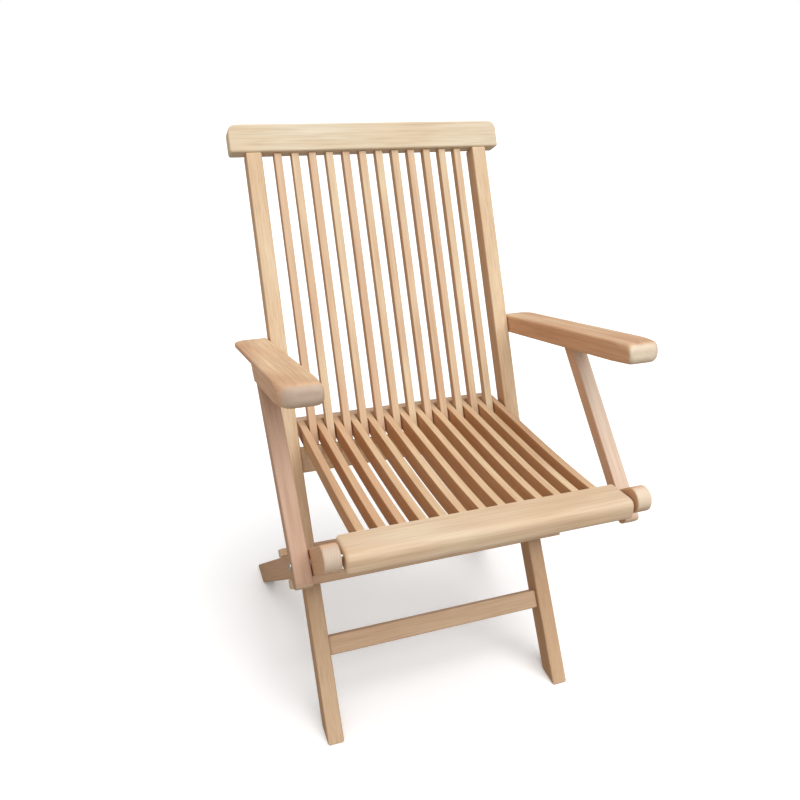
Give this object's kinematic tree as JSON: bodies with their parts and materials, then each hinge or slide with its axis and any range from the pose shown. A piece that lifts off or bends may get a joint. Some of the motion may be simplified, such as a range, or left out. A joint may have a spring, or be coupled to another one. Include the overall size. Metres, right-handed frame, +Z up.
{
  "type": "folding armchair",
  "caption": "Folding slatted teak armchair: crossed frames, interleaving back and seat slats, arms on swinging struts, shown open.",
  "frame": {"origin": "on the floor, in the middle of the chair's overall width and depth with the chair open", "axes": "+Z up, -Y the way a sitter faces, +X towards the right arm as seen from the front"},
  "size_m": [0.564, 0.6568, 0.8903],
  "materials": {
    "teak": "sanded, light oil, satin",
    "steel": "satin stainless"
  },
  "bodies": {
    "back_frame": {"stile_left": "teak", "stile_right": "teak", "top_rail": "teak", "lower_back_rail": "teak", "back_slat_01": "teak", "back_slat_02": "teak", "back_slat_03": "teak", "back_slat_04": "teak", "back_slat_05": "teak", "back_slat_06": "teak", "back_slat_07": "teak", "back_slat_08": "teak", "back_slat_09": "teak", "back_slat_10": "teak", "back_slat_11": "teak", "back_slat_12": "teak", "front_stretcher": "teak", "frame_bolt_left": "steel", "frame_bolt_right": "steel", "frame_washer_left": "steel", "frame_washer_right": "steel"},
    "leg_frame": {"rear_leg_left": "teak", "rear_leg_right": "teak", "stop_rail": "teak", "rear_stretcher": "teak", "seat_pin_left": "steel", "seat_pin_right": "steel", "strut_insert_left": "steel", "strut_insert_right": "steel"},
    "seat": {"seat_front_rail": "teak", "seat_rear_rail": "teak", "seat_slat_01": "teak", "seat_slat_02": "teak", "seat_slat_03": "teak", "seat_slat_04": "teak", "seat_slat_05": "teak", "seat_slat_06": "teak", "seat_slat_07": "teak", "seat_slat_08": "teak", "seat_slat_09": "teak", "seat_slat_10": "teak", "seat_slat_11": "teak", "seat_slat_12": "teak", "seat_slat_13": "teak"},
    "arm_left": {"arm_left": "teak", "arm_screw_left": "steel", "arm_washer_left": "steel", "strut_top_screw_left": "steel", "strut_top_washer_left": "steel"},
    "arm_right": {"arm_right": "teak", "arm_screw_right": "steel", "arm_washer_right": "steel", "strut_top_screw_right": "steel", "strut_top_washer_right": "steel"},
    "strut_left": {"strut_left": "teak", "strut_foot_screw_left": "steel", "strut_foot_washer_left": "steel"},
    "strut_right": {"strut_right": "teak", "strut_foot_screw_right": "steel", "strut_foot_washer_right": "steel"}
  },
  "joints": [
    {"name": "fold", "type": "hinge", "parent": "back_frame", "child": "leg_frame", "pos_m": [0, -0.05815, 0.23152], "axis": [-1, 0, 0], "range_deg": [0, 71.5]},
    {"name": "seat_fold", "type": "hinge", "parent": "leg_frame", "child": "seat", "pos_m": [0, -0.3075, 0.4429], "axis": [1, 0, 0], "range_deg": [0, 120.9]},
    {"name": "arm_left_swing", "type": "hinge", "parent": "back_frame", "child": "arm_left", "pos_m": [-0.22325, 0.13135, 0.55154], "axis": [-1, 0, 0], "range_deg": [0, 94]},
    {"name": "strut_left_swing", "type": "hinge", "parent": "arm_left", "child": "strut_left", "pos_m": [-0.24925, -0.03251, 0.58895], "axis": [1, 0, 0], "range_deg": [0, 111.1]},
    {"name": "arm_right_swing", "type": "hinge", "parent": "back_frame", "child": "arm_right", "pos_m": [0.22325, 0.13135, 0.55154], "axis": [-1, 0, 0], "range_deg": [0, 94]},
    {"name": "strut_right_swing", "type": "hinge", "parent": "arm_right", "child": "strut_right", "pos_m": [0.24925, -0.03251, 0.58895], "axis": [1, 0, 0], "range_deg": [0, 111.1]}
  ],
  "couplings": [
    {"joint": "seat_fold", "follows": "fold", "ratio": 1.69},
    {"joint": "arm_left_swing", "follows": "fold", "ratio": 1.3134},
    {"joint": "strut_left_swing", "follows": "fold", "ratio": 1.5518},
    {"joint": "arm_right_swing", "follows": "fold", "ratio": 1.3134},
    {"joint": "strut_right_swing", "follows": "fold", "ratio": 1.5518}
  ]
}
